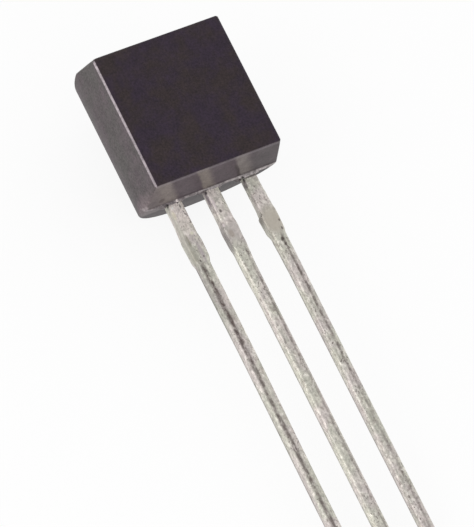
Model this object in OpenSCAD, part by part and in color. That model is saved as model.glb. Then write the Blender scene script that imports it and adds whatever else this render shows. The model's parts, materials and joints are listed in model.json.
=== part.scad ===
// TO-92 transistor: a moulded case round a three-lead stamped frame, with the chip and its bond wires inside.
// It lies on its round back, with its flat face up and its leads running down to the floor along -Y.
// The sub-parts are drawn upright first: X across the leads, Y from the flat face to the round back, and Z up
// from the case's bottom edge. The lead frame's middle plane is Y = 0, and the leads hang below Z = 0.

/* [Case] */
// Width of the case across the round back
case_w = 4.52; // [3.7:0.01:5.5]
// Height of the case at the parting line
case_h = 4.72; // [3.8:0.01:5.6]
// Depth of the case from the flat face to the round back
case_d = 3.72; // [3.4:0.01:4.5]
// Distance from the flat face to the middle of the leads
lead_setback = 1.52; // [1.3:0.01:1.9]
// Draft of the two sides in front of the parting line, in degrees
side_draft = 6.8; // [2:0.1:12]
// Draft of the top and bottom in front of the parting line, in degrees
front_draft = 8.9; // [2:0.1:10]
// Draft of the top and bottom behind the parting line, in degrees
back_draft = 8.8; // [2:0.1:10]
// Radius of the edges round the flat face
flat_edge_r = 0.05; // [0.02:0.01:0.15]
// Radius of the four corners from the flat face to the parting line
corner_r = 0.07; // [0.02:0.01:0.15]
// Radius of the rim where the round back turns into the top and the bottom
rim_r = 0.06; // [0.05:0.01:0.3]
// Width of the moulding flash along the parting line
flash_w = 0.05; // [0.03:0.01:0.1]
// Height of the moulding flash above the case
flash_h = 0.01; // [0.01:0.005:0.04]

/* [Leads] */
// Distance between the middles of neighbouring leads
pitch = 1.27; // [1:0.01:1.6]
// Thickness of the lead frame's sheet
lead_t = 0.38; // [0.3:0.01:0.5]
// Length of the leads below the case
lead_l = 14.5; // [10:0.1:18]
// Width of a lead where it leaves the case
root_w = 0.45; // [0.38:0.01:0.55]
// Width of a lead below its dam-bar stub
lead_w = 0.37; // [0.3:0.01:0.45]
// Width of a lead across its dam-bar stub
stub_w = 0.52; // [0.48:0.01:0.65]
// Radius of a lead's long edges above and below its dam-bar stub
lead_edge_r = 0.1; // [0.02:0.01:0.15]
// Distance from the case to the top of the dam-bar stub
stub_drop = 1.2; // [0.8:0.05:1.6]
// Height of the dam-bar stub
stub_h = 0.55; // [0.4:0.05:0.8]

/* [Lead frame inside the case] */
// Width of the paddle that carries the chip
paddle_w = 1.6; // [1.3:0.05:2]
// Height of the paddle
paddle_h = 1.7; // [1.3:0.05:2.1]
// Height of the paddle's lower edge above the case's bottom
paddle_rise = 1.3; // [1.1:0.05:1.6]
// Width of the neck between the middle lead and the paddle
neck_w = 0.7; // [0.55:0.05:0.9]
// Width of a bonding post
post_w = 0.7; // [0.5:0.05:0.75]
// Height of a bonding post
post_h = 1.1; // [0.8:0.05:1.4]
// Height of a bonding post's lower edge above the case's bottom
post_rise = 0.85; // [0.7:0.05:1.1]
// Gap between the paddle and each bonding post
frame_gap = 0.28; // [0.2:0.01:0.35]
// Diameter of the holes and notches that the moulding grips
grip_d = 0.3; // [0.2:0.01:0.36]

/* [Chip and bond wires] */
// Side of the square chip
die_w = 0.6; // [0.4:0.05:0.9]
// Thickness of the chip
die_t = 0.2; // [0.15:0.01:0.3]
// Thickness of the bond layer under the chip
attach_t = 0.03; // [0.02:0.005:0.05]
// Width of the bond layer that shows all round the chip
attach_lip = 0.05; // [0.02:0.01:0.1]
// Diameter of the bond wires
wire_d = 0.05; // [0.03:0.005:0.08]
// Height that a bond wire rises before it bends over
wire_rise = 0.2; // [0.1:0.01:0.3]
// Radius of a bond wire's bend above its ball
wire_bend_r = 0.12; // [0.08:0.01:0.2]

/* [Hidden] */

margin = 1;                                       // how far a cutting or clipping shape overshoots
$fn = 64;

// Case. The two mould halves meet in the plane of the leads' front faces.
flat_y = -lead_setback;
parting_y = -lead_t / 2;
back_y = case_d - lead_setback;
back_r = case_w / 2;
back_centre_y = back_y - back_r;
parting_half_w = sqrt(back_r * back_r - pow(parting_y - back_centre_y, 2));
flat_half_w = parting_half_w - (parting_y - flat_y) * tan(side_draft);
flat_inset_z = (parting_y - flat_y) * tan(front_draft);
back_slope = tan(back_draft);

// Leads
stub_step = (stub_w - root_w) / 2;                // the stub's upper shoulder slopes at 45 degrees
stub_taper = 0.25;                                // length over which the stub narrows to the lead
stub_end_z = -stub_drop - stub_h - stub_taper;
shoulder_z = 0.35;                                // how far the full root width runs up into the case

// Lead frame inside the case
post_in_x = paddle_w / 2 + frame_gap;
post_out_x = post_in_x + post_w;
post_top_z = post_rise + post_h;
paddle_top_z = paddle_rise + paddle_h;
paddle_chamfer = paddle_w / 8;

// Chip and bond wires
frame_front_y = parting_y;
die_z = paddle_rise + paddle_h / 2;
die_front_y = frame_front_y - attach_t - die_t;
pad_x = die_w / 4;
ball_d = 2.4 * wire_d;
ball_t = 0.6 * wire_d;
stitch_d = 2 * wire_d;
stitch_t = 0.4 * wire_d;
stitch_x = (post_in_x + post_out_x) / 2;
stitch_z = post_top_z - post_w / 2;
wire_lap = wire_d / 5;                            // how far the straight wire starts inside its bend
wire_span = norm([stitch_x - pad_x, stitch_z - die_z]);
wire_fall = atan2(die_z - stitch_z, stitch_x - pad_x);

// Lying pose. The rim's lowest point and the lead tips touch the floor. The rim slopes with the bottom, so
// its round section is an ellipse, centred at (edge_z, edge_y). The tilt is that of the line touching both.
edge_y = back_y - rim_r;
edge_z = rim_r + (edge_y - parting_y) * back_slope;
tilt_run = edge_z + lead_l;
tilt_drop = edge_y - lead_t / 2;
touch_a = tilt_run * tilt_run - rim_r * rim_r * (1 + back_slope * back_slope);
touch_b = tilt_run * tilt_drop - rim_r * rim_r * back_slope;
touch_c = tilt_drop * tilt_drop - rim_r * rim_r;
tilt = atan((touch_b + sqrt(touch_b * touch_b - touch_a * touch_c)) / touch_a);
tip_y = -lead_l * cos(tilt) - lead_t / 2 * sin(tilt);
top_y = (case_h + flash_h) * cos(tilt) + (parting_y + flash_w / 2) * sin(tilt);
tip_drop = lead_l * sin(tilt) + lead_t / 2 * cos(tilt);

// Lays an upright sub-part down on the floor, with the whole part's box centred on the Z axis.
module lay_down() {
    translate([0, -(tip_y + top_y) / 2, tip_drop]) rotate([tilt - 90, 0, 0]) children();
}

function unit(v) = v / norm(v);

// A convex outline with its corners rounded: each corner is [x, y, radius], and a radius of 0 keeps it sharp.
module rounded_outline(corners) {
    count = len(corners);
    function point(i) = [corners[(i + count) % count].x, corners[(i + count) % count].y];
    function to_last(i) = unit(point(i - 1) - point(i));
    function to_next(i) = unit(point(i + 1) - point(i));
    function half_angle(i) = acos(to_last(i) * to_next(i)) / 2;
    function reach(i) = corners[i][2] / tan(half_angle(i));
    polygon([for (i = [0 : count - 1], side = [0, 1])
        if (side == 0 || corners[i][2] > 0)
            point(i) + reach(i) * (side == 0 ? to_last(i) : to_next(i))]);
    for (i = [0 : count - 1])
        if (corners[i][2] > 0)
            translate(point(i) + unit(to_last(i) + to_next(i)) * corners[i][2] / sin(half_angle(i)))
                circle(corners[i][2]);
}

// Extrudes an outline drawn in X and Z from front_y back to front_y + depth.
module extrude_back(front_y, depth) {
    translate([0, front_y + depth, 0]) rotate([90, 0, 0]) linear_extrude(depth) children();
}

// Extrudes an outline drawn in Y and Z to both sides of X = 0.
module extrude_across(width) {
    rotate([90, 0, 90]) linear_extrude(width, center = true) children();
}

// The case in front of the parting line, seen from above: drafted sides and a flat face.
module front_plan() {
    rounded_outline([[-flat_half_w, flat_y, flat_edge_r], [flat_half_w, flat_y, flat_edge_r],
                     [parting_half_w, parting_y, 0], [-parting_half_w, parting_y, 0]]);
}

// The case's front half seen from the side: it is tallest at the parting line.
module front_profile() {
    rounded_outline([[flat_y, flat_inset_z, flat_edge_r], [parting_y, 0, 0],
                     [parting_y, case_h, 0], [flat_y, case_h - flat_inset_z, flat_edge_r]]);
}

// The case seen from the front, grown by grow on every side.
module case_front(grow) {
    half_w = parting_half_w + grow;
    radius = corner_r + grow;
    rounded_outline([[-half_w, -grow, radius], [half_w, -grow, radius],
                     [half_w, case_h + grow, radius], [-half_w, case_h + grow, radius]]);
}

// What rounds off the front's lower corner on the +X side. Its outline lies across the corner's edge: the
// edge is at the origin, the bottom runs along +X, and the side runs off at the angle between the two faces.
module corner_cut() {
    start = [flat_half_w, flat_y, flat_inset_z];
    along = unit([parting_half_w, parting_y, 0] - start);
    bottom_way = unit(cross(along, [0, -sin(front_draft), -cos(front_draft)]));
    side_way = unit(cross([cos(side_draft), -sin(side_draft), 0], along));
    third_way = cross(along, bottom_way);
    corner_angle = acos(bottom_way * side_way);
    reach = corner_r / tan(corner_angle / 2);
    inward = [cos(corner_angle / 2), sin(corner_angle / 2)];
    multmatrix([[bottom_way.x, third_way.x, along.x, start.x],
                [bottom_way.y, third_way.y, along.y, start.y],
                [bottom_way.z, third_way.z, along.z, start.z]])
        translate([0, 0, -margin]) linear_extrude(case_d + margin) difference() {
            polygon([[reach, 0], reach * [cos(corner_angle), sin(corner_angle)], -corner_r * inward]);
            translate(corner_r / sin(corner_angle / 2) * inward) circle(corner_r);
        }
}

module front_half() {
    difference() {
        intersection() {
            translate([0, 0, -margin]) linear_extrude(case_h + 2 * margin) front_plan();
            extrude_across(case_w + 2 * margin) front_profile();
        }
        for (side = [0, 1], end = [0, 1])
            mirror([side, 0, 0]) translate([0, 0, end * case_h]) mirror([0, 0, end]) corner_cut();
    }
}

// The lower half of the round back: a round block with a rounded rim, sheared so that its bottom slopes up
// from the parting line to the back while its sides stay upright.
module back_lower() {
    centre_rise = (back_centre_y - parting_y) * back_slope;
    intersection() {
        multmatrix([[1, 0, 0, 0], [0, 1, 0, back_centre_y], [0, back_slope, 1, centre_rise]])
            rotate_extrude() {
                square([back_r - rim_r, case_h]);
                translate([0, rim_r]) square([back_r, case_h - rim_r]);
                translate([back_r - rim_r, rim_r]) circle(rim_r);
            }
        translate([-case_w / 2, parting_y, 0]) cube([case_w, case_d, case_h / 2]);
    }
}

module back_half() {
    back_lower();
    translate([0, 0, case_h]) mirror([0, 0, 1]) back_lower();
}

module flash() {
    extrude_back(parting_y - flash_w / 2, flash_w) case_front(flash_h);
}

// A straight piece of a lead at X = x, with its four long edges rounded.
module lead_bar(x, width, bottom_z, top_z) {
    translate([x, 0, bottom_z]) linear_extrude(top_z - bottom_z)
        rounded_outline([[-width / 2, -lead_t / 2, lead_edge_r], [width / 2, -lead_t / 2, lead_edge_r],
                         [width / 2, lead_t / 2, lead_edge_r], [-width / 2, lead_t / 2, lead_edge_r]]);
}

// The lead at X = x from its tip to the shoulder inside the case. The sheared dam-bar stub keeps sharp edges.
module lead_stem(x) {
    lead_bar(x, lead_w, -lead_l, stub_end_z);
    extrude_back(frame_front_y, lead_t) translate([x, 0])
        polygon([[-lead_w / 2, stub_end_z], [lead_w / 2, stub_end_z],
                 [stub_w / 2, stub_end_z + stub_taper], [stub_w / 2, -stub_drop - stub_step],
                 [root_w / 2, -stub_drop], [-root_w / 2, -stub_drop],
                 [-stub_w / 2, -stub_drop - stub_step], [-stub_w / 2, stub_end_z + stub_taper]]);
    lead_bar(x, root_w, -stub_drop, shoulder_z);
}

// The head of the lead at X = x, inside the case: the shoulder, closed by the points given anticlockwise.
module lead_head(x, points) {
    polygon(concat([[x - root_w / 2, shoulder_z], [x + root_w / 2, shoulder_z]], points));
}

// An outer lead with its bonding post, on the +X side.
module post_lead() {
    lead_stem(pitch);
    extrude_back(frame_front_y, lead_t) difference() {
        lead_head(pitch, [[post_out_x, post_rise], [post_out_x, post_top_z],
                          [post_in_x, post_top_z], [post_in_x, post_rise]]);
        translate([post_out_x, post_rise + post_h / 2]) circle(d = grip_d);
    }
}

// The middle lead with its neck and the paddle that carries the chip.
module paddle_lead() {
    neck_z = shoulder_z + (neck_w - root_w) / 2;
    lead_stem(0);
    extrude_back(frame_front_y, lead_t) difference() {
        lead_head(0, [[neck_w / 2, neck_z], [neck_w / 2, paddle_rise], [paddle_w / 2, paddle_rise],
                      [paddle_w / 2, paddle_top_z - paddle_chamfer],
                      [paddle_w / 2 - paddle_chamfer, paddle_top_z],
                      [paddle_chamfer - paddle_w / 2, paddle_top_z],
                      [-paddle_w / 2, paddle_top_z - paddle_chamfer],
                      [-paddle_w / 2, paddle_rise], [-neck_w / 2, paddle_rise], [-neck_w / 2, neck_z]]);
        translate([0, (shoulder_z + paddle_rise) / 2 + grip_d / 4]) circle(d = grip_d);
    }
}

module attach_layer() {
    width = die_w + 2 * attach_lip;
    translate([-width / 2, frame_front_y - attach_t, die_z - width / 2]) cube([width, attach_t, width]);
}

module chip() {
    translate([-die_w / 2, die_front_y, die_z - die_w / 2]) cube([die_w, die_t, die_w]);
}

// The bond wire on the +X side. It is drawn in its own frame, with the ball's pad at the origin, +X towards
// the post and +Z away from the lead frame, and is then turned to face the flat side.
module bond_wire() {
    chip_top = attach_t + die_t;
    bend_z = chip_top + ball_t + wire_rise;
    reach = [wire_span - wire_bend_r, stitch_t - bend_z];
    turn_end = atan2(reach.y, reach.x) + acos(wire_bend_r / norm(reach));
    slope = 90 - turn_end;
    slope_l = sqrt(reach * reach - wire_bend_r * wire_bend_r);
    translate([pad_x, frame_front_y, die_z]) rotate([90, wire_fall, 0]) {
        translate([0, 0, chip_top]) cylinder(h = ball_t, d = ball_d);
        translate([0, 0, chip_top + ball_t]) cylinder(h = wire_rise, d = wire_d);
        translate([wire_bend_r, 0, bend_z]) rotate([90, 0, 0]) rotate([0, 0, turn_end])
            rotate_extrude(angle = 180 - turn_end) translate([wire_bend_r, 0]) circle(d = wire_d);
        intersection() {
            translate([wire_bend_r * (1 + cos(turn_end)), 0, bend_z + wire_bend_r * sin(turn_end)])
                rotate([0, 90 + slope, 0]) translate([0, 0, -wire_lap])
                    cylinder(h = slope_l + wire_lap + wire_d, d = wire_d);
            translate([0, -margin / 2, 0]) cube([wire_span + margin, margin, 2 * margin]);
        }
        translate([wire_span, 0, 0]) cylinder(h = stitch_t, d = stitch_d);
    }
}

module case() {
    color([0.24, 0.22, 0.24]) lay_down() difference() {
        union() {
            front_half();
            back_half();
            flash();
        }
        post_lead();
        mirror([1, 0, 0]) post_lead();
        paddle_lead();
        attach_layer();
        chip();
        bond_wire();
        mirror([1, 0, 0]) bond_wire();
    }
}

module lead_emitter() {
    color([0.78, 0.76, 0.73]) lay_down() mirror([1, 0, 0]) post_lead();
}

module lead_collector() {
    color([0.78, 0.76, 0.73]) lay_down() paddle_lead();
}

module lead_base() {
    color([0.78, 0.76, 0.73]) lay_down() post_lead();
}

module silicon_die() {
    color([0.35, 0.37, 0.42]) lay_down() chip();
}

module die_attach() {
    color([0.85, 0.8, 0.68]) lay_down() attach_layer();
}

module bond_wire_emitter() {
    color([0.95, 0.78, 0.35]) lay_down() mirror([1, 0, 0]) bond_wire();
}

module bond_wire_base() {
    color([0.95, 0.78, 0.35]) lay_down() bond_wire();
}

case();
lead_emitter();
lead_collector();
lead_base();
silicon_die();
die_attach();
bond_wire_emitter();
bond_wire_base();
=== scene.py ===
import json
import math

import bmesh
import bpy
import numpy as np
from mathutils import Matrix, Vector


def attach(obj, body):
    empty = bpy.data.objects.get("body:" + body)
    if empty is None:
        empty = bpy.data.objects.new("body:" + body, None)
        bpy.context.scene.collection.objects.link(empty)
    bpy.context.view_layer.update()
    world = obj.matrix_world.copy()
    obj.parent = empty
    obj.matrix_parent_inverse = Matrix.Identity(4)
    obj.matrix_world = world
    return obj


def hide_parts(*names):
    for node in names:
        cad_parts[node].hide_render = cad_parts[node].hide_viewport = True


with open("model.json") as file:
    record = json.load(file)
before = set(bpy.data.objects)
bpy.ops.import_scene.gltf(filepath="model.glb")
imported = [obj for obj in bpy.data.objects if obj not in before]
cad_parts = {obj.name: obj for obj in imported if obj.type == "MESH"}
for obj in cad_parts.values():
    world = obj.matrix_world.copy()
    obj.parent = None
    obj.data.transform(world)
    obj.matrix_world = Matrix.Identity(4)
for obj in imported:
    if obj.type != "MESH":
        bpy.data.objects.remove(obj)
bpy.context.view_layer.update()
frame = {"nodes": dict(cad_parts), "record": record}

MM = 0.001

# The part's own directions: out of the flat face, along the leads, and to the left of the flat.
mounts = {m["name"]: m for m in frame["record"]["mounts"]}
OUT = Vector(mounts["flat_face"]["axis"]).normalized()
DOWN = Vector(mounts["lead_row"]["axis"]).normalized()
LEFT = Vector((-1, 0, 0))
ROOT = Vector(mounts["lead_row"]["pos_m"])

# Shapes are drawn in millimetres in the case's own frame: X across the leads, Y from the flat face to the
# round back, Z up from the case's bottom, with the middle of the lead frame at Y = 0. LAID lays them down.
LAID = Matrix.Translation(ROOT) @ Matrix((
    (1, -OUT.x, -DOWN.x, 0),
    (0, -OUT.y, -DOWN.y, 0),
    (0, -OUT.z, -DOWN.z, 0),
    (0, 0, 0, 1))) @ Matrix.Scale(MM, 4)


# ---------------------------------------------------------------- sizes, in millimetres

# The case. The drafts are the slopes of its sides, and of its bottom and top in front of the parting line and
# behind it.
CASE_W, CASE_H, CASE_D = 4.52, 4.72, 3.72
SETBACK = 1.52                                    # from the flat face back to the middle of the leads
SIDE_DRAFT, FRONT_DRAFT, BACK_DRAFT = (math.radians(v) for v in (6.8, 8.9, 8.8))
FLAT_CORNER_R = 0.07                              # the flat's upright edges
FLAT_RIM_R, FLAT_RIM_END_R = 0.05, 0.07           # its lower and upper edges, and their ends
WORN_RIM_R = 0.1                                  # its upper left corner
BOTTOM_RIM_R, TOP_RIM_R = 0.1, 0.06               # round the bottom and the top, from the parting line back

# The leads, with the radii of their long edges: along the shanks, at the dam-bar stubs and inside the case.
PITCH = 1.27
LEAD_T = 0.38
LEAD_L = 14.5
EDGE_R, STUB_EDGE_R, HEAD_EDGE_R = 0.1, 0.06, 0.015

# Inside the case the leads widen above the shoulder, the outer ones into bonding posts and the middle one into
# the paddle.
SHOULDER_Z = 0.35
HEAD_EDGE_Z = 0.2                                 # from here up the leads' long edges get sharper
POST_NEAR, POST_FAR = 1.08, 1.78                  # a post's edges, from the middle of the case
POST_RISE = 0.5                                   # the height over which a lead widens into its post
POST_TOP = 1.95
NOTCH_Z, NOTCH_R = 1.4, 0.15                      # the round notch in a post's outer edge
NECK_HALF_W = 0.35
HOLE_Z, HOLE_D = 0.9, 0.3                         # the hole through the neck
PADDLE_Z, PADDLE_TOP, PADDLE_HALF_W = 1.3, 3.0, 0.8
PADDLE_CHAMFER_Z = 2.8

# What follows from them. The leads' front faces lie in the plane of the parting line.
FLAT_Y = -SETBACK
PARTING_Y = -LEAD_T / 2
BACK_R = CASE_W / 2
BACK_CENTRE_Y = CASE_D - SETBACK - BACK_R
PARTING_HALF_W = math.sqrt(BACK_R ** 2 - (PARTING_Y - BACK_CENTRE_Y) ** 2)
FLAT_HALF_W = PARTING_HALF_W - (PARTING_Y - FLAT_Y) * math.tan(SIDE_DRAFT)


# ---------------------------------------------------------------- camera

VIEW_AZIMUTH = -46.59
VIEW_ELEVATION = 59.14
VIEW_ROLL = 21.05
VIEW_DISTANCE = 105.85 * MM
CLIP_RANGE = 100                                  # the camera sees from 1/100 to 100 times that distance
LENS = 247.1
AIM = ROOT + Vector((-0.2932, -2.3766, -0.3232)) * MM


def direction(azimuth, elevation):
    """From the part towards that azimuth and elevation in degrees, with azimuth 0 at -Y and 90 at +X."""
    a, e = math.radians(azimuth), math.radians(elevation)
    return Vector((math.sin(a) * math.cos(e), -math.cos(a) * math.cos(e), math.sin(e)))


def make_camera():
    back = direction(VIEW_AZIMUTH, VIEW_ELEVATION)
    data = bpy.data.cameras.new("camera")
    data.lens = LENS
    data.clip_start = VIEW_DISTANCE / CLIP_RANGE
    data.clip_end = VIEW_DISTANCE * CLIP_RANGE
    cam = bpy.data.objects.new("camera", data)
    cam.location = AIM + back * VIEW_DISTANCE
    roll = Matrix.Rotation(math.radians(VIEW_ROLL), 4, "Z").to_quaternion()
    cam.rotation_mode = "QUATERNION"
    cam.rotation_quaternion = (-back).to_track_quat("-Z", "Y") @ roll
    bpy.context.collection.objects.link(cam)
    bpy.context.scene.camera = cam


# ---------------------------------------------------------------- meshes

JOIN_WITHIN = 0.002 * MM                          # points this close together become one


def make_piece(name, points, faces, node, material):
    """A smooth mesh from points in the case's frame, which stands for a CAD node."""
    mesh = bpy.data.meshes.new(name)
    mesh.from_pydata([tuple(p) for p in points], [], [tuple(f) for f in faces])
    mesh.transform(LAID)
    bm = bmesh.new()
    bm.from_mesh(mesh)
    bmesh.ops.remove_doubles(bm, verts=bm.verts, dist=JOIN_WITHIN)
    bm.to_mesh(mesh)
    bm.free()
    mesh.polygons.foreach_set("use_smooth", [True] * len(mesh.polygons))
    mesh.materials.append(material)
    obj = bpy.data.objects.new(name, mesh)
    bpy.context.collection.objects.link(obj)
    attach(obj, "root")
    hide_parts(node)
    return obj


def smoothstep(v, lo, hi):
    """0 at lo and 1 at hi, which may be the smaller of the two."""
    t = np.clip((v - lo) / (hi - lo), 0, 1)
    return t * t * (3 - 2 * t)


def plateau(v, starts, full, fades, ends):
    """1 from full to fades, and 0 before starts and after ends."""
    return smoothstep(v, starts, full) * smoothstep(v, ends, fades)


def spread(lo, hi, count, centres, width, gain):
    """count + 1 numbers from lo to hi, packed closer round each centre."""
    fine = np.linspace(lo, hi, 4001)
    density = 1 + gain * sum(np.exp(-((fine - c) / width) ** 2) for c in centres)
    total = np.concatenate(([0], np.cumsum((density[1:] + density[:-1]) / 2)))
    return np.interp(np.linspace(0, total[-1], count + 1), total, fine)


def stack_faces(rings, count):
    """The quads between rings of count points each."""
    faces = []
    for k in range(rings - 1):
        for i in range(count):
            j = (i + 1) % count
            faces.append((k * count + i, k * count + j, (k + 1) * count + j, (k + 1) * count + i))
    return faces


def closed_stack_faces(rings, count):
    """The same, with the first and the last ring closed by a face each."""
    first, last = range(count)[::-1], range((rings - 1) * count, rings * count)
    return stack_faces(rings, count) + [tuple(first), tuple(last)]


# ---------------------------------------------------------------- case

CASE_COLUMNS = 200
RIM_STEPS = 7
WALL_STEPS = 14
BACK_ARC_END = math.radians(42)                   # where the rows of the top and bottom end on the round back
FLAT_TURN = math.pi / 2 - SIDE_DRAFT              # how far the outline turns at the flat's corners
FLAT_TANGENT = FLAT_CORNER_R * math.tan(FLAT_TURN / 2)

# Rows from the middle of the flat's corner to BACK_ARC_END, closest together round the flash and the leads.
CASE_ROWS = 140
CORNER_ROWS, SIDE_ROWS, FLASH_ROWS, LEAD_ROWS = 7, 36, 15, 40
FLASH_ROWS_START = PARTING_Y - 0.07
LEAD_ROWS_END = 0.3

# Columns are packed closer at the leads' edges, with this spread and gain.
LEAD_EDGE = 0.24
COLUMN_SPREAD, COLUMN_GAIN = 0.05, 2.5

# How soon the rows of the top and bottom straighten, away from the flat and from the round back.
FRONT_POWER, BACK_POWER = 10, 4

# Where the rims change radius: over the last stretch of the flat's edges, and from behind the flat to the
# parting line. The wear of the upper left corner reaches this far along the flat and back from it.
RIM_END_LENGTH = 0.1
RIM_CHANGE_STARTS = FLAT_Y + 0.4
WORN_LENGTH, WORN_DEPTH = 0.16, 0.6

# The flash on the bottom: its mean height, two waves along it (height, waves, phase), where it fades out
# towards the case's corners, and where its fin starts, is full, fades and ends along Y.
FLASH_HEIGHT = 0.04
FLASH_WAVES = ((0.008, 7.3, 0), (0.005, 19, 1))
FLASH_FADES, FLASH_ENDS = 1.95, 2.15
FIN_Y = (PARTING_Y - 0.045, PARTING_Y - 0.02, PARTING_Y + 0.02, PARTING_Y + 0.05)

# The collars round the leads (X, how much higher than the flash), where they fade and end on both sides of a
# lead's middle, and where they start, are full, fade and end along Y.
COLLARS = ((-PITCH, 0.035), (0, 0.03), (PITCH, 0.05))
COLLAR_FADES, COLLAR_ENDS = 0.28, 0.4
COLLAR_Y = (PARTING_Y - 0.05, PARTING_Y - 0.02, 0.2, 0.28)

# The voids at the leads' left corners: X, Y, radii, depth.
VOIDS = (
    (-PITCH - 0.29, -0.16, 0.04, 0.05, 0.12),
    (-0.29, -0.15, 0.05, 0.06, 0.14),
    (PITCH - 0.27, -0.1, 0.04, 0.1, 0.14),
)


def flash(x, y):
    """How much lower the bottom face lies along the parting line: a thin fin of moulding flash, which thickens
    into a low collar round each lead and has small voids at the leads' left corners."""
    height = FLASH_HEIGHT + sum(high * np.sin(waves * x + phase) for high, waves, phase in FLASH_WAVES)
    low = height * plateau(y, *FIN_Y)
    for centre, rise in COLLARS:
        across = smoothstep(np.abs(x - centre), COLLAR_ENDS, COLLAR_FADES)
        low = np.maximum(low, (height + rise) * across * plateau(y, *COLLAR_Y))
    for px, py, rx, ry, deep in VOIDS:
        d = ((x - px) / rx) ** 2 + ((y - py) / ry) ** 2
        low = low - deep * np.exp(-d * d)
    return low * smoothstep(np.abs(x), FLASH_ENDS, FLASH_FADES)


def end_depth(y):
    """How far the bottom face lies above Z = 0. The top face mirrors it."""
    return np.abs(y - PARTING_Y) * np.where(y < PARTING_Y, math.tan(FRONT_DRAFT), math.tan(BACK_DRAFT))


def round_back(normals):
    """The points of the round back that have these outward normals, seen from above."""
    return np.array([0, BACK_CENTRE_Y]) + BACK_R * normals


def outline_right():
    """The case's right side seen from above, from the middle of the flat's corner to the round back: points and
    outward normals, row by row."""
    turns = np.linspace(FLAT_TURN / 2, FLAT_TURN, CORNER_ROWS)
    corner_n = np.column_stack((np.sin(turns), -np.cos(turns)))
    corner = np.array([FLAT_HALF_W - FLAT_TANGENT, FLAT_Y + FLAT_CORNER_R]) + FLAT_CORNER_R * corner_n

    side_y = np.concatenate((
        np.linspace(corner[-1][1], FLASH_ROWS_START, SIDE_ROWS + 2)[1:-1],
        np.linspace(FLASH_ROWS_START, PARTING_Y, FLASH_ROWS)))
    side_x = PARTING_HALF_W - (PARTING_Y - side_y) * math.tan(SIDE_DRAFT)
    side_n = np.tile([math.cos(SIDE_DRAFT), -math.sin(SIDE_DRAFT)], (len(side_y), 1))

    first, lead_end = (math.asin((y - BACK_CENTRE_Y) / BACK_R) for y in (PARTING_Y, LEAD_ROWS_END))
    rest = CASE_ROWS + 1 - len(corner) - len(side_y) - LEAD_ROWS
    turns = np.concatenate((
        np.linspace(first, lead_end, LEAD_ROWS + 1)[1:],
        np.linspace(lead_end, math.pi / 2 - BACK_ARC_END, rest + 1)[1:]))
    back_n = np.column_stack((np.cos(turns), np.sin(turns)))
    return (np.concatenate((corner, np.column_stack((side_x, side_y)), round_back(back_n))),
            np.concatenate((corner_n, side_n, back_n)))


def outline(across):
    """The whole outline, anticlockwise seen from above: front, right side, back, left side."""
    right, right_n = outline_right()
    flat_x = across * right[0, 0]                 # ends at the middles of the flat's two corners
    over = np.clip((np.abs(flat_x) - (FLAT_HALF_W - FLAT_TANGENT)) / FLAT_CORNER_R, 0, 1)
    turns = np.arcsin(over) * np.sign(flat_x)
    front = np.stack([flat_x, FLAT_Y + FLAT_CORNER_R * (1 - np.cos(turns))], 1)
    front_n = np.stack([np.sin(turns), -np.cos(turns)], 1)
    turns = np.arcsin(across * math.sin(BACK_ARC_END))
    back_n = np.stack([np.sin(turns), np.cos(turns)], 1)
    back = round_back(back_n)
    mirror = np.array([-1, 1])
    loop = (front, right, back[::-1], (right * mirror)[::-1])
    loop_n = (front_n, right_n, back_n[::-1], (right_n * mirror)[::-1])
    return np.concatenate([edge[:-1] for edge in loop]), np.concatenate([edge[:-1] for edge in loop_n])


def rim_rings(loop, normals, rim):
    """The rounded rim of the bottom face, ring by ring from the face out to the wall."""
    rings = []
    for step in range(RIM_STEPS, -1, -1):
        a = math.pi / 2 * step / RIM_STEPS
        p = loop - normals * (rim * (1 - math.cos(a)))[:, None]
        rings.append(np.column_stack((p, end_depth(p[:, 1]) + rim * (1 - math.sin(a)))))
    return rings


def wall_rings(loop, normals):
    """Rings from the inner edge of the bottom rim, up the case's wall, to the inner edge of the top rim. The
    rims have one radius along the flat, another at its ends, and reach a third at the parting line."""
    x, y = loop.T
    toward_end = smoothstep(np.abs(x), FLAT_HALF_W - RIM_END_LENGTH, FLAT_HALF_W)
    toward_back = smoothstep(y, RIM_CHANGE_STARTS, PARTING_Y)
    flat_rim = FLAT_RIM_R + (FLAT_RIM_END_R - FLAT_RIM_R) * toward_end
    low_rings = rim_rings(loop, normals, flat_rim + (BOTTOM_RIM_R - flat_rim) * toward_back)
    worn = smoothstep(x, WORN_LENGTH - FLAT_HALF_W, -FLAT_HALF_W) * smoothstep(y, FLAT_Y + WORN_DEPTH, FLAT_Y)
    flat_rim = flat_rim + (WORN_RIM_R - flat_rim) * worn
    high_rings = rim_rings(loop, normals, flat_rim + (TOP_RIM_R - flat_rim) * toward_back)
    for ring in high_rings:
        ring[:, 2] = CASE_H - ring[:, 2]
    low, high = low_rings[-1][:, 2], high_rings[-1][:, 2]
    walls = [np.column_stack((loop, low + (high - low) * k / WALL_STEPS)) for k in range(1, WALL_STEPS)]
    return low_rings + walls + high_rings[::-1]


def face_grid(inner, across):
    """The points inside a closed ring. Rows run straight across, except near the ring's front and back."""
    columns, rows = CASE_COLUMNS, CASE_ROWS
    front = inner[:columns + 1]
    right = inner[columns:columns + rows + 1]
    back = inner[columns + rows:2 * columns + rows + 1][::-1]
    left = np.concatenate((inner[2 * columns + rows:], inner[:1]))[::-1]
    u = ((across + 1) / 2)[:, None]
    v = (right[:, 1] - right[0, 1]) / (right[-1, 1] - right[0, 1])

    def bow(edge):
        """How far an edge's points lie off the straight line between its ends."""
        return edge - (edge[0] * (1 - u) + edge[-1] * u)

    grid = [left[r] * (1 - u) + right[r] * u
            + (1 - v[r]) ** FRONT_POWER * bow(front) + v[r] ** BACK_POWER * bow(back)
            for r in range(1, rows)]
    return np.array(grid)[:, 1:-1].reshape(-1, 2)


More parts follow.
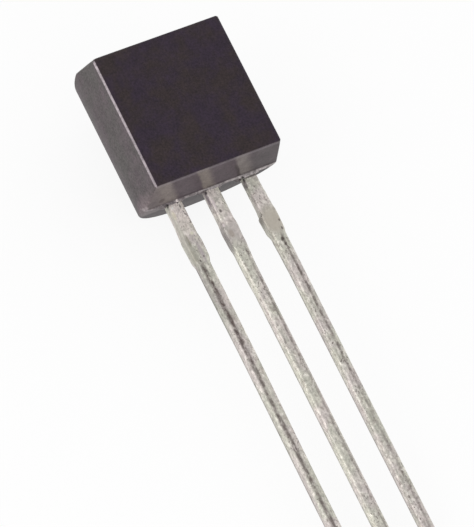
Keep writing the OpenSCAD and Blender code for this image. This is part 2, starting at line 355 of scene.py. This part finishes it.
def case_mesh():
    edges = [s * PITCH + h for s in (-1, 0, 1) for h in (-LEAD_EDGE, LEAD_EDGE)]
    across = spread(-1, 1, CASE_COLUMNS, [e / PARTING_HALF_W for e in edges], COLUMN_SPREAD, COLUMN_GAIN)
    loop, normals = outline(across)
    rings = wall_rings(loop, normals)
    face = face_grid(rings[0][:, :2], across)
    base = np.column_stack((face, end_depth(face[:, 1]) - flash(*face.T)))
    face = face_grid(rings[-1][:, :2], across)
    lid = np.column_stack((face, CASE_H - end_depth(face[:, 1])))

    columns, rows, count = CASE_COLUMNS, CASE_ROWS, len(loop)

    def grid_index(start, ring, r, c):
        """The number of the point in row r and column c, which lies in the grid or on the ring round it."""
        if r == 0:
            return ring + c
        if c == columns:
            return ring + columns + r
        if r == rows:
            return ring + columns + rows + (columns - c)
        if c == 0:
            return ring + (2 * columns + 2 * rows - r) % count
        return start + (r - 1) * (columns - 1) + c - 1

    faces = stack_faces(len(rings), count)
    last_ring = (len(rings) - 1) * count
    start_base = len(rings) * count
    start_lid = start_base + len(base)
    for r in range(rows):
        for c in range(columns):
            cell = [(r, c), (r, c + 1), (r + 1, c + 1), (r + 1, c)]
            faces.append([grid_index(start_base, 0, *rc) for rc in reversed(cell)])
            faces.append([grid_index(start_lid, last_ring, *rc) for rc in cell])
    return np.concatenate(rings + [base, lid]), faces


# ---------------------------------------------------------------- leads

CORNER_POINTS = 7                                 # on each rounded edge of a lead's section
SIDE_SHARES = (0.2, 0.4, 0.6, 0.8)                # where points lie along its straight sides
STATIONS = ((-2.4, 0.08), (-0.9, 0.02), (SHOULDER_Z, 0.05))   # up to this height, rings this far apart
HEAD_RINGS = 30                                   # from the shoulder up
STUB_Z = (-2.1, -1.9, -1.3, -1.1)                 # where the stub's edge radius starts, is full, fades and ends
HOLE_POINTS = 48
PADDLE_STEP = 0.0001                              # two rings this close make the paddle's square lower corners
SHARP_ANGLE = math.radians(40)

# The leads: middle, top, and half widths to the left and to the right, from height to height.
LEADS = {
    "lead_emitter": (
        -PITCH, POST_TOP,
        ((-10.5, 0.23), (-5.0, 0.21), (-2.15, 0.226), (-1.85, 0.264), (-1.2, 0.282), (-0.6, 0.25)),
        ((-9.5, 0.155), (-4.5, 0.203), (-2.15, 0.2), (-1.85, 0.253), (-1.45, 0.262), (-1.1, 0.243))),
    "lead_collector": (
        0, PADDLE_TOP,
        ((-3.6, 0.2), (-2.9, 0.222), (-2.1, 0.228), (-1.75, 0.25), (-1.4, 0.262), (-1.2, 0.248)),
        ((-2.7, 0.193), (-2.0, 0.22), (-1.7, 0.216), (-1.3, 0.233), (-1.0, 0.222))),
    "lead_base": (
        PITCH, POST_TOP,
        ((-3.3, 0.182), (-2.7, 0.193), (-2.12, 0.21), (-1.82, 0.262), (-1.4, 0.28), (-1.31, 0.237)),
        ((-7.5, 0.2), (-4.8, 0.213), (-2.15, 0.226), (-1.8, 0.25), (-1.45, 0.26), (-1.0, 0.245),
         (-0.35, 0.22))),
}


def section(left, right, front, back, r):
    """A rounded rectangle, anticlockwise seen from above, with points along its straight sides too."""
    centres = ((right - r, front + r), (right - r, back - r), (left + r, back - r), (left + r, front + r))
    corners = []
    for quarter, (cx, cy) in enumerate(centres):
        turn = np.linspace(0, math.pi / 2, CORNER_POINTS) + (quarter - 1) * math.pi / 2
        corners.append(np.column_stack((cx + r * np.cos(turn), cy + r * np.sin(turn))))
    ring = []
    for corner, following in zip(corners, corners[1:] + corners[:1]):
        ring.append(corner)
        ring.append([corner[-1] + (following[0] - corner[-1]) * t for t in SIDE_SHARES])
    return np.concatenate(ring)


def lead_stations(top):
    """The heights of a lead's rings, closest together round its stub."""
    parts, low = [], -LEAD_L
    for high, gap in STATIONS:
        parts.append(np.arange(low, high, gap))
        low = high
    return np.concatenate(parts + [np.linspace(SHOULDER_Z, top, HEAD_RINGS)])


def along(z, table):
    """Values at z from a short list of (z, value), with smooth steps between."""
    out = np.full(len(z), float(table[0][1]))
    for (z0, v0), (z1, v1) in zip(table, table[1:]):
        out = np.where(z >= z0, v0 + (v1 - v0) * smoothstep(z, z0, z1), out)
    return out


def lead_mesh(z, centre, left, right, radii):
    """Points and faces of a lead, from its half widths and edge radius at each height."""
    rings = []
    for k, zk in enumerate(z):
        ring = section(centre - left[k], centre + right[k], -LEAD_T / 2, LEAD_T / 2, radii[k])
        rings.append(np.column_stack((ring, np.full(len(ring), zk))))
    return np.concatenate(rings), closed_stack_faces(len(rings), len(rings[0]))


def post_sides(z, inner, outer):
    """Half widths of an outer lead, on its inner and outer side, with those of its bonding post added."""
    rise = np.clip((z - SHOULDER_Z) / POST_RISE, 0, 1)
    notch = np.clip(NOTCH_R ** 2 - (z - NOTCH_Z) ** 2, 0, None) ** 0.5
    return inner + (PITCH - POST_NEAR - inner) * rise, outer + (POST_FAR - PITCH - outer) * rise - notch


def paddle_side(z, width):
    """Half width of the middle lead, with those of its neck and paddle added."""
    width = np.minimum(width + np.clip(z - SHOULDER_Z, 0, None), NECK_HALF_W)
    width = np.where(z > PADDLE_Z, PADDLE_HALF_W, width)
    return width - np.clip(z - PADDLE_CHAMFER_Z, 0, None)


def punch(lead, z, diameter):
    """Cuts a round hole at height z through the middle lead, from in front of it to behind it."""
    turn = np.linspace(0, 2 * math.pi, HOLE_POINTS + 1)[:-1]
    r = diameter / 2
    points = [(r * math.cos(a), y, z + r * math.sin(a)) for y in (-1, 1) for a in turn]
    mesh = bpy.data.meshes.new("punch")
    mesh.from_pydata(points, [], closed_stack_faces(2, len(turn)))
    mesh.transform(LAID)
    tool = bpy.data.objects.new("punch", mesh)
    bpy.context.collection.objects.link(tool)
    cut = lead.modifiers.new("hole", "BOOLEAN")
    cut.object = tool
    lead.data = bpy.data.meshes.new_from_object(lead.evaluated_get(bpy.context.evaluated_depsgraph_get()))
    lead.modifiers.clear()
    bpy.data.objects.remove(tool)


def make_leads(material):
    for node, (centre, top, left_widths, right_widths) in LEADS.items():
        z = lead_stations(top)
        if centre == 0:
            z = np.sort(np.concatenate((z, (PADDLE_Z - PADDLE_STEP, PADDLE_Z + PADDLE_STEP))))
        left, right = along(z, left_widths), along(z, right_widths)
        if centre == 0:
            left, right = paddle_side(z, left), paddle_side(z, right)
        elif centre > 0:
            left, right = post_sides(z, left, right)
        else:
            right, left = post_sides(z, right, left)
        in_head = smoothstep(z, HEAD_EDGE_Z, SHOULDER_Z)
        radii = (EDGE_R + (STUB_EDGE_R - EDGE_R) * plateau(z, *STUB_Z)
                 + (HEAD_EDGE_R - EDGE_R) * in_head)
        points, faces = lead_mesh(z, centre, left, right, radii)
        lead = make_piece(node + "_tinned", points, faces, node, material)
        if centre == 0:
            punch(lead, HOLE_Z, HOLE_D)
        lead.data.set_sharp_from_angle(angle=SHARP_ANGLE)


# ---------------------------------------------------------------- materials

def srgb(r, g, b):
    """A colour given as 0 to 255 display values, in linear light."""
    def linear(v):
        v /= 255
        return v / 12.92 if v <= 0.04045 else ((v + 0.055) / 1.055) ** 2.4
    return (linear(r), linear(g), linear(b), 1.0)


class Look:
    """A procedural material, drawn in millimetres in the case's own frame. Its colour is built up in layers.
    Colours are given as display values, and a mask is a number from 0 to 1 over the surface."""

    def __init__(self, name):
        self.material = bpy.data.materials.new(name)
        self.material.use_nodes = True
        self.nodes = self.material.node_tree.nodes
        self.links = self.material.node_tree.links
        self.surface = self.nodes["Principled BSDF"]
        self.color = None
        coords = self.nodes.new("ShaderNodeTexCoord")
        laid = self.nodes.new("ShaderNodeMapping")
        laid.vector_type = "TEXTURE"
        laid.inputs["Location"].default_value = ROOT
        laid.inputs["Rotation"].default_value = LAID.to_euler()
        laid.inputs["Scale"].default_value = (MM, MM, MM)
        self.links.new(coords.outputs["Object"], laid.inputs["Vector"])
        self.place = laid.outputs["Vector"]
        split = self.nodes.new("ShaderNodeSeparateXYZ")
        self.links.new(self.place, split.inputs[0])
        self.x, self.y, self.z = split.outputs
        self.normal = coords.outputs["Normal"]

    def put(self, socket, value):
        if isinstance(value, bpy.types.NodeSocket):
            self.links.new(value, socket)
        else:
            socket.default_value = value

    def math(self, operation, a, b=0.0):
        node = self.nodes.new("ShaderNodeMath")
        node.operation = operation
        self.put(node.inputs[0], a)
        self.put(node.inputs[1], b)
        return node.outputs[0]

    def every(self, *masks):
        """The product of the masks."""
        out = masks[0]
        for mask in masks[1:]:
            out = self.math("MULTIPLY", out, mask)
        return out

    def total(self, *terms):
        """The sum of (signal, gain) pairs."""
        out = None
        for signal, gain in terms:
            part = self.math("MULTIPLY", signal, gain)
            out = part if out is None else self.math("ADD", out, part)
        return out

    def facing(self, toward):
        """How squarely the surface faces a fixed direction of the part."""
        node = self.nodes.new("ShaderNodeVectorMath")
        node.operation = "DOT_PRODUCT"
        self.put(node.inputs[0], self.normal)
        node.inputs[1].default_value = toward
        return node.outputs["Value"]

    def ramp(self, value, lo, hi, out_lo=0.0, out_hi=1.0):
        """A smooth step from out_lo at lo to out_hi at hi, which may be the smaller of the two."""
        node = self.nodes.new("ShaderNodeMapRange")
        node.interpolation_type = "SMOOTHSTEP"
        self.put(node.inputs["Value"], value)
        for key, v in (("From Min", lo), ("From Max", hi), ("To Min", out_lo), ("To Max", out_hi)):
            node.inputs[key].default_value = v
        return node.outputs["Result"]

    def band(self, value, starts, full, fades, ends):
        """1 from full to fades, and 0 before starts and after ends."""
        return self.every(self.ramp(value, starts, full), self.ramp(value, ends, fades))

    def near(self, value, centre, half, soft):
        """1 within half of the centre, fading out over soft on both sides."""
        away = self.math("ABSOLUTE", self.math("SUBTRACT", value, centre))
        return self.ramp(away, half, half + soft, 1.0, 0.0)

    def spot(self, centre, radii, soft=0.5):
        """1 inside an ellipsoid, fading out over that share of its radii."""
        move = self.nodes.new("ShaderNodeMapping")
        move.vector_type = "TEXTURE"
        move.inputs["Location"].default_value = centre
        move.inputs["Scale"].default_value = radii
        self.links.new(self.place, move.inputs["Vector"])
        size = self.nodes.new("ShaderNodeVectorMath")
        size.operation = "LENGTH"
        self.links.new(move.outputs["Vector"], size.inputs[0])
        return self.ramp(size.outputs["Value"], 1 - soft, 1 + soft, 1.0, 0.0)

    def noise(self, scale, detail, rough, offset):
        """Noise of about scale features per millimetre along each axis, centred on 0, and different at each
        offset."""
        stretch = self.nodes.new("ShaderNodeMapping")
        stretch.inputs["Location"].default_value = (offset, offset, offset)
        stretch.inputs["Scale"].default_value = scale if isinstance(scale, tuple) else (scale,) * 3
        self.links.new(self.place, stretch.inputs["Vector"])
        node = self.nodes.new("ShaderNodeTexNoise")
        node.inputs["Scale"].default_value = 1.0
        node.inputs["Detail"].default_value = detail
        node.inputs["Roughness"].default_value = rough
        self.links.new(stretch.outputs["Vector"], node.inputs["Vector"])
        return self.math("SUBTRACT", node.outputs["Fac"], 0.5)

    def blend(self, fac, a, b):
        """Between two colours, each given as display values or as the output of a node."""
        node = self.nodes.new("ShaderNodeMix")
        node.data_type = "RGBA"
        self.put(node.inputs[0], fac)
        for index, color in ((6, a), (7, b)):
            self.put(node.inputs[index], srgb(*color) if isinstance(color, tuple) else color)
        return node.outputs[2]

    def paint(self, mask, color, share=1.0):
        """Lays a colour over the colour so far."""
        if share < 1.0:
            mask = self.math("MULTIPLY", mask, share)
        self.color = self.blend(mask, self.color, color)

    def shade(self, amount):
        """Makes the colour so far lighter or darker, by 1 + amount."""
        node = self.nodes.new("ShaderNodeVectorMath")
        node.operation = "SCALE"
        self.links.new(self.color, node.inputs[0])
        self.put(node.inputs["Scale"], self.math("ADD", amount, 1.0))
        self.color = node.outputs[0]

    def relief(self, height, depth_mm):
        bump = self.nodes.new("ShaderNodeBump")
        bump.inputs["Strength"].default_value = 1.0
        bump.inputs["Distance"].default_value = depth_mm * MM
        self.put(bump.inputs["Height"], height)
        self.links.new(bump.outputs["Normal"], self.surface.inputs["Normal"])

    def finish(self, rough, metal=0.0, specular=0.5):
        self.put(self.surface.inputs["Base Color"], self.color)
        self.put(self.surface.inputs["Roughness"], rough)
        self.surface.inputs["Metallic"].default_value = metal
        self.surface.inputs["Specular IOR Level"].default_value = specular
        return self.material


# Painted reflections of the leads on the bottom: where each starts, is full, fades and ends, along X at the
# leads' middle, and colour.
EPOXY_LEAD_REFLECTIONS = (
    ((-1.75, -1.38, -1.2, -0.95), (124, 115, 111)),
    ((-0.26, -0.13, 0.05, 0.3), (123, 114, 108)),
    ((1.0, 1.12, 1.28, 1.65), (120, 113, 110)),
)

# Specks round the case's bottom edge, three of them painted shade in the voids: where, radii, colour.
EPOXY_MARKS = (
    ((-1.19, -0.23, -0.03), (0.04, 0.05, 0.04), (225, 214, 212)),
    # Painted shade in the voids at the leads' left corners.
    ((-1.54, -0.2, -0.07), (0.05, 0.1, 0.05), (24, 20, 20)),
    ((-0.27, -0.2, -0.09), (0.06, 0.12, 0.06), (18, 14, 16)),
    ((1.01, -0.2, -0.12), (0.045, 0.12, 0.09), (14, 11, 13)),
    ((-2.28, -0.3, 0.02), (0.12, 0.14, 0.08), (150, 139, 141)),
    ((-1.73, -0.5, 0.05), (0.1, 0.1, 0.1), (86, 77, 74)),
    ((-2.05, -0.5, 0.05), (0.14, 0.12, 0.1), (96, 86, 87)),
)


def epoxy_look():
    k = Look("epoxy")
    flat = k.ramp(k.y, FLAT_Y + 0.03, FLAT_Y + 0.01)
    under = k.ramp(k.facing(DOWN), 0.75, 0.92)

    # The sides, the round back and the top, paler at the lower left.
    k.color = k.blend(k.ramp(k.noise(1.1, 3, 0.6, 4), -0.18, 0.18), (82, 78, 77), (88, 78, 82))
    low_left = k.every(k.ramp(k.facing(LEFT), 0.3, 0.6), k.ramp(k.z, 0.5, 0.1), k.ramp(k.y, -0.1, -0.3))
    k.paint(low_left, (93, 84, 84), 0.9)
    k.paint(k.spot((-2.24, -0.35, 0.02), (0.3, 0.6, 0.3), 0.8), (126, 112, 115), 0.6)

    # The bottom, in front of the parting line and behind it.
    ahead = k.blend(k.ramp(k.x, 0.8, 1.6), (83, 72, 77), (83, 76, 78))
    behind = k.blend(k.ramp(k.y, 0.5, 1.3), (54, 46, 49), (70, 63, 64))
    k.paint(under, k.blend(k.ramp(k.y, PARTING_Y, PARTING_Y + 0.05), ahead, behind))

    # Painted reflections of the leads where they come out, a painted shadow between two of them, and a paler
    # lip along the flat. The painted reflections lie across the leads at a slant, with wavy edges.
    slant = k.total((k.x, 1.0), (k.y, -0.35), (k.noise(2.5, 2, 0.5, 21), 0.2))
    front = k.every(under, k.ramp(k.y, PARTING_Y, PARTING_Y - 0.1))
    k.paint(k.every(front, k.ramp(slant, -1.3, -1.7)), (106, 96, 96))
    for edges, color in EPOXY_LEAD_REFLECTIONS:
        k.paint(k.every(front, k.band(slant, *edges)), color, 0.9)
    k.paint(k.every(front, k.near(slant, 1.02, 0.03, 0.05), k.ramp(k.y, -1.2, -0.8)), (64, 56, 56), 0.7)
    k.paint(k.every(under, k.near(k.y, FLAT_Y + 0.09, 0.03, 0.05)), (132, 124, 130), 0.35)

    # The flat face, darker than the sides, partly as painted shade, and a painted highlight along its left
    # edge.
    k.paint(flat, k.blend(k.ramp(k.noise(1.3, 3, 0.6, 11), -0.15, 0.15), (48, 38, 39), (45, 34, 48)))
    edge_highlight = k.every(
        k.near(k.x, 0.004 - FLAT_HALF_W, 0.02, 0.02),
        k.ramp(k.y, FLAT_Y + 0.09, FLAT_Y + 0.06),
        k.ramp(k.math("ADD", k.z, k.noise(3, 2, 0.5, 31)), 4.5, 4.25),
        k.ramp(k.noise(8, 2, 0.6, 33), -0.25, 0.2, 0.75, 1.0),
        k.ramp(k.z, 0.0, 3.5, 0.75, 1.0))
    k.paint(edge_highlight, (179, 168, 173))

    # The flash along the parting line: a broken pale crest, partly a painted highlight on its ridge, painted
    # light on the bottom behind it, and painted shade in front of it.
    low = k.ramp(k.z, 0.16, 0.1)
    shade_before_flash = k.every(k.near(k.y, PARTING_Y - 0.1, 0.03, 0.04), low)
    k.shade(k.every(shade_before_flash, k.ramp(k.noise(4, 2, 0.6, 43), -0.2, 0.2, -0.4, 0.0)))
    light_behind_flash = k.every(k.band(k.y, PARTING_Y, PARTING_Y + 0.03, PARTING_Y, PARTING_Y + 0.6), low)
    k.paint(k.every(light_behind_flash, k.ramp(k.x, 0.6, 1.7, 0.8, 0.1)), (120, 110, 111))
    rear_left_light = k.every(k.band(k.y, PARTING_Y, PARTING_Y + 0.03, 0.4, 1.3), k.ramp(k.x, -1.3, -1.6), low)
    k.paint(rear_left_light, (106, 97, 98))
    crest = k.every(
        k.band(k.y, PARTING_Y - 0.055, PARTING_Y - 0.035, PARTING_Y + 0.03, PARTING_Y + 0.1), low,
        k.ramp(k.x, -2.2, 1.2, 0.4, 0.95),
        k.ramp(k.noise(7, 3, 0.6, 47), -0.15, 0.12, 0.4, 1.0))
    k.paint(crest, (182, 174, 174))
    for place, radii, color in EPOXY_MARKS:
        k.paint(k.spot(place, radii), color)

    # Grain, weaker on the bottom, over broad clouds.
    grain = k.every(k.noise(15, 2, 0.7, 2), k.ramp(under, 0, 1, 1, 0.5))
    k.shade(k.total((grain, 1.6), (k.noise(3, 3, 0.6, 7), 0.7)))
    k.relief(k.noise(22, 2, 0.6, 5), 0.004)
    return k.finish(k.ramp(flat, 0, 1, 0.55, 0.5), specular=0.25)


# Marks on the leads, some of them painted shade, lead by lead from the left: where (X from the lead's middle,
# Y, Z), radii, colour, share.
FACE_Y = -LEAD_T / 2
TIN_MARKS = {
    -1: (
        # Painted shade in the void at the lead's left corner.
        ((-0.26, FACE_Y, -0.09), (0.05, 0.1, 0.05), (30, 26, 26), 1.0),
        ((0.08, FACE_Y, -0.08), (0.03, 0.1, 0.03), (70, 62, 62), 0.9),
        ((0.1, FACE_Y, -0.2), (0.02, 0.1, 0.06), (110, 102, 98), 0.8),
        ((0.19, FACE_Y, -0.2), (0.04, 0.1, 0.1), (240, 232, 224), 0.9),
        ((-0.2, FACE_Y, -0.42), (0.05, 0.1, 0.14), (226, 218, 198), 0.8),
        ((0.0, FACE_Y, -0.85), (0.2, 0.1, 0.3), (208, 204, 190), 0.3),
        ((0.06, FACE_Y, -1.1), (0.05, 0.1, 0.05), (228, 224, 206), 0.9),
        ((0.12, FACE_Y, -1.29), (0.04, 0.1, 0.05), (222, 217, 206), 0.8),
        ((-0.16, FACE_Y, -1.3), (0.045, 0.1, 0.2), (150, 146, 128), 0.6),
        ((0.06, FACE_Y, -1.72), (0.06, 0.1, 0.3), (190, 180, 183), 0.7),
        ((-0.25, FACE_Y, -1.1), (0.07, 0.2, 0.9), (185, 182, 172), 0.8),
        ((-0.2, FACE_Y, -1.8), (0.1, 0.2, 0.24), (178, 175, 163), 0.8),
        ((0.07, FACE_Y, -1.88), (0.02, 0.1, 0.03), (90, 84, 80), 0.8),
        ((-0.09, FACE_Y, -1.98), (0.02, 0.1, 0.04), (90, 84, 80), 0.8),
    ),
    0: (
        # Painted shade in the void at the lead's left corner.
        ((-0.26, FACE_Y, -0.1), (0.06, 0.12, 0.06), (24, 19, 21), 1.0),
        # Painted shade on the left side near the case.
        ((-0.27, -0.08, -0.3), (0.1, 0.08, 0.25), (150, 138, 146), 0.8),
        ((-0.17, FACE_Y, -0.5), (0.035, 0.1, 0.17), (232, 222, 222), 0.9),
        ((-0.09, FACE_Y, -0.78), (0.04, 0.1, 0.05), (100, 92, 90), 0.8),
        ((-0.2, FACE_Y, -1.23), (0.04, 0.1, 0.06), (232, 222, 222), 0.9),
        ((-0.26, 0.05, -1.7), (0.08, 0.25, 0.38), (146, 140, 139), 0.7),
        ((0.0, FACE_Y, -1.55), (0.26, 0.1, 0.36), (202, 195, 191), 0.5),
        ((-0.1, FACE_Y, -1.54), (0.08, 0.1, 0.12), (166, 152, 142), 0.5),
    ),
    1: (
        # Painted shade in the void at the lead's left corner.
        ((-0.25, FACE_Y, -0.15), (0.05, 0.12, 0.09), (20, 16, 18), 1.0),
        # Painted shade under the collar at the lead's root.
        ((0.0, FACE_Y, -0.11), (0.26, 0.1, 0.03), (96, 89, 87), 0.8),
        # Painted shade on the left side near the case.
        ((-0.24, -0.05, -0.28), (0.05, 0.16, 0.14), (138, 130, 132), 0.7),
        ((-0.2, FACE_Y, -1.12), (0.04, 0.1, 0.16), (230, 222, 218), 0.8),
        ((0.0, FACE_Y, -1.6), (0.31, 0.12, 0.42), (198, 191, 180), 0.9),
        ((-0.31, -0.02, -1.48), (0.06, 0.2, 0.2), (142, 137, 130), 0.9),
        ((0.19, FACE_Y, -1.67), (0.03, 0.1, 0.04), (110, 102, 98), 0.8),
        ((0.15, FACE_Y, -1.93), (0.03, 0.1, 0.05), (110, 102, 98), 0.8),
        ((0.01, FACE_Y, -2.24), (0.05, 0.1, 0.05), (96, 88, 84), 0.9),
        ((0.02, FACE_Y, -2.42), (0.03, 0.1, 0.05), (96, 88, 84), 0.9),
    ),
}

# Olive clouds, brown blotches and bright flecks: noise scale and offset, where they fade in, share, colour.
TIN_PATCHES = (
    ((4, 4, 2), 17, (0.03, 0.14), 0.5, (191, 190, 180)),
    ((7, 7, 5), 27, (0.05, 0.17), 0.5, (166, 156, 150)),
    ((8, 8, 6), 19, (0.04, 0.16), 0.6, (238, 233, 226)),
)

# Broad areas of the leads that are lighter or darker than the rest: where, radii, amount.
TIN_LIGHTER = (
    ((0.02 - PITCH, FACE_Y, -0.38), (0.22, 0.1, 0.32), 0.12),
    ((0.05, FACE_Y, -0.85), (0.2, 0.1, 0.3), -0.05),
    ((0.02 + PITCH, FACE_Y, -0.4), (0.2, 0.1, 0.3), 0.05),
)

# The painted dark reflection down each lead: where it lies across, half its width, its softness, its share.
TIN_STREAKS = {
    -1: (-0.075, 0.02, 0.075, 0.85),
    0: (0.09, 0.01, 0.05, 0.5),
    1: (0.045, 0.015, 0.045, 0.7),
}


def tin_look():
    k = Look("tin")
    # Which lead it is, from -1 on the left to 1 on the right, and how far to the right of its middle.
    lead = k.math("ROUND", k.math("DIVIDE", k.x, PITCH))
    u = k.math("SUBTRACT", k.x, k.math("MULTIPLY", lead, PITCH))
    u = k.total((u, 1.0), (k.noise((3, 3, 1.2), 2, 0.5, 3), 0.05))
    emitter, base = k.ramp(lead, -0.4, -0.6), k.ramp(lead, 0.4, 0.6)
    collector = k.math("SUBTRACT", k.math("SUBTRACT", 1.0, emitter), base)
    front = k.ramp(k.facing(OUT), 0.5, 0.8)
    side = k.ramp(k.facing(LEFT), 0.5, 0.8)
    shank = k.ramp(k.z, -1.9, -2.25)

    # Solder in long patches of cream and pink. It is lighter above the stubs.
    k.color = k.blend(k.ramp(k.noise((1.5, 1.5, 0.9), 2, 0.5, 9), -0.1, 0.1), (208, 206, 195), (213, 205, 201))
    for scale, offset, fades_in, share, color in TIN_PATCHES:
        k.paint(k.ramp(k.noise(scale, 2, 0.6, offset), *fades_in, 0.0, share), color)
    k.shade(k.every(k.ramp(k.z, -1.25, -1.05), k.ramp(lead, 0.4, 0.6, 0.2, 0.06)))

    # The sides get painted shade near the case, and below that a painted highlight along their front and
    # painted shade along their back, a little different from lead to lead. The emitter stays dull some way
    # below its stub.
    k.shade(k.every(side, shank, k.ramp(k.y, 0.0, 0.1, 0.1, -0.3)))
    k.shade(k.every(side, shank, k.total((emitter, -0.07), (collector, 0.07))))
    shade_near_case = k.total((emitter, -0.12), (collector, -0.18), (base, -0.12))
    k.shade(k.every(side, k.math("SUBTRACT", 1.0, shank), shade_near_case))
    dull = k.every(emitter, k.ramp(u, -0.08, -0.13), shank, k.ramp(k.z, -4.8, -3.2))
    k.shade(k.total((dull, -0.32), (base, -0.04)))

    # Dark streaks down each lead, a painted reflection broken up by noise, heavier near the stub, and fainter
    # far down the base.
    broken = k.ramp(k.noise((9, 9, 5), 3, 0.7, 1), -0.3, 0.14)
    near_stub = k.math("MULTIPLY", k.ramp(k.z, -5.5, -4.0), 0.15)
    for which, on_lead in ((-1, emitter), (0, collector), (1, base)):
        centre, half, soft, share = TIN_STREAKS[which]
        heavy = k.math("ADD", near_stub, share)
        if on_lead is base:
            heavy = k.every(heavy, k.ramp(k.z, -8.0, -6.5, 0.6, 1.0))
        streak = k.every(on_lead, k.near(u, centre, half, soft), broken, front, shank, heavy)
        k.paint(streak, (108, 96, 93))

    # Duller where the dam bars were cut off, with speckle, specks and marks over everything.
    k.shade(k.math("MULTIPLY", k.every(k.band(k.z, -2.1, -1.9, -1.35, -1.15), front), -0.06))
    for place, radii, amount in TIN_LIGHTER:
        k.shade(k.math("MULTIPLY", k.spot(place, radii), amount))
    k.shade(k.total((k.noise((17, 17, 12), 3, 0.65, 6), 1.1), (k.noise((6, 6, 4), 2, 0.5, 13), 0.7)))
    specks = k.every(
        front,
        k.ramp(k.noise((19, 19, 15), 1, 0.5, 23), 0.13, 0.2, 0.0, 0.75),
        k.ramp(k.noise((2, 2, 1.5), 2, 0.5, 25), -0.08, 0.08, 0.2, 1.0))
    k.paint(specks, (112, 100, 98))
    for which, marks in TIN_MARKS.items():
        for (across, y, z), radii, color, share in marks:
            k.paint(k.spot((which * PITCH + across, y, z), radii), color, share)

    k.relief(k.noise((16, 16, 8), 2, 0.6, 8), 0.006)
    return k.finish(k.ramp(k.noise(6, 2, 0.5, 15), -0.3, 0.3, 0.5, 0.65), metal=1.0)


def inner_look(name, a, b, scale, rough, metal):
    """Patches of two colours, with the roughness varying a little."""
    k = Look(name)
    k.color = k.blend(k.ramp(k.noise(scale, 3, 0.6, 1), -0.2, 0.2), a, b)
    varied = k.ramp(k.noise(scale * 2, 2, 0.5, 3), -0.3, 0.3, rough - 0.08, rough + 0.08)
    return k.finish(varied, metal=metal)


# ---------------------------------------------------------------- stage

FLOOR_SIZE = 2.0
PAPER = (0.95, 0.95, 0.95, 1)
PAPER_GLOW = 0.88                                 # share of plain white that the camera and reflections see


def make_floor():
    bpy.ops.mesh.primitive_plane_add(size=FLOOR_SIZE)
    floor = bpy.context.object
    floor.name = "floor"
    material = bpy.data.materials.new("floor")
    material.use_nodes = True
    nodes, links = material.node_tree.nodes, material.node_tree.links
    paper = nodes["Principled BSDF"]
    paper.inputs["Base Color"].default_value = PAPER
    paper.inputs["Roughness"].default_value = 1.0
    paper.inputs["Specular IOR Level"].default_value = 0.0
    white = nodes.new("ShaderNodeEmission")
    ray = nodes.new("ShaderNodeLightPath")
    seen = ray.outputs["Is Camera Ray"]
    for key in ("Is Glossy Ray", "Is Transmission Ray"):
        either = nodes.new("ShaderNodeMath")
        either.operation = "MAXIMUM"
        links.new(seen, either.inputs[0])
        links.new(ray.outputs[key], either.inputs[1])
        seen = either.outputs[0]
    share = nodes.new("ShaderNodeMath")
    share.operation = "MULTIPLY"
    links.new(seen, share.inputs[0])
    share.inputs[1].default_value = PAPER_GLOW
    mix = nodes.new("ShaderNodeMixShader")
    links.new(share.outputs[0], mix.inputs[0])
    links.new(paper.outputs[0], mix.inputs[1])
    links.new(white.outputs[0], mix.inputs[2])
    links.new(mix.outputs[0], nodes["Material Output"].inputs["Surface"])
    floor.data.materials.append(material)


def make_world(horizon, zenith):
    """A soft studio sky, dimmer overhead than near the horizon."""
    world = bpy.data.worlds.new("studio")
    world.use_nodes = True
    nodes, links = world.node_tree.nodes, world.node_tree.links
    coords = nodes.new("ShaderNodeTexCoord")
    split = nodes.new("ShaderNodeSeparateXYZ")
    links.new(coords.outputs["Generated"], split.inputs[0])
    ramp = nodes.new("ShaderNodeMapRange")
    for key, v in (("From Min", 0.1), ("From Max", 0.9), ("To Min", horizon), ("To Max", zenith)):
        ramp.inputs[key].default_value = v
    links.new(split.outputs["Z"], ramp.inputs["Value"])
    links.new(ramp.outputs["Result"], nodes["Background"].inputs["Strength"])
    nodes["Background"].inputs["Color"].default_value = (1, 1, 1, 1)
    bpy.context.scene.world = world


def softbox(name, azimuth, elevation, distance, size, watts):
    """A round lamp that shines on the part, with its distance and size in millimetres."""
    data = bpy.data.lights.new(name, "AREA")
    data.shape = "DISK"
    data.size = size * MM
    data.energy = watts
    lamp = bpy.data.objects.new(name, data)
    toward = direction(azimuth, elevation)
    lamp.location = ROOT + toward * distance * MM
    lamp.rotation_mode = "QUATERNION"
    lamp.rotation_quaternion = (-toward).to_track_quat("-Z", "Y")
    bpy.context.collection.objects.link(lamp)


# ---------------------------------------------------------------- scene

make_camera()
epoxy = epoxy_look()
tin = tin_look()
silicon = inner_look("silicon", (86, 90, 102), (104, 108, 122), scale=6, rough=0.25, metal=0.4)
bond = inner_look("die_bond", (200, 188, 150), (218, 206, 172), scale=12, rough=0.5, metal=0.8)
gold = inner_look("gold_wire", (240, 200, 110), (250, 214, 130), scale=20, rough=0.25, metal=1.0)

points, faces = case_mesh()
make_piece("case_moulded", points, faces, "case", epoxy)
make_leads(tin)

looks = {"case": epoxy, "silicon_die": silicon, "die_attach": bond,
         "bond_wire_emitter": gold, "bond_wire_base": gold}
for name, obj in frame["nodes"].items():
    obj.data.materials.clear()
    obj.data.materials.append(looks.get(name, tin))

make_floor()
make_world(horizon=1.2, zenith=0.75)
softbox("key", azimuth=-80, elevation=38, distance=120, size=60, watts=0.02)
bpy.context.scene.view_settings.view_transform = "Standard"
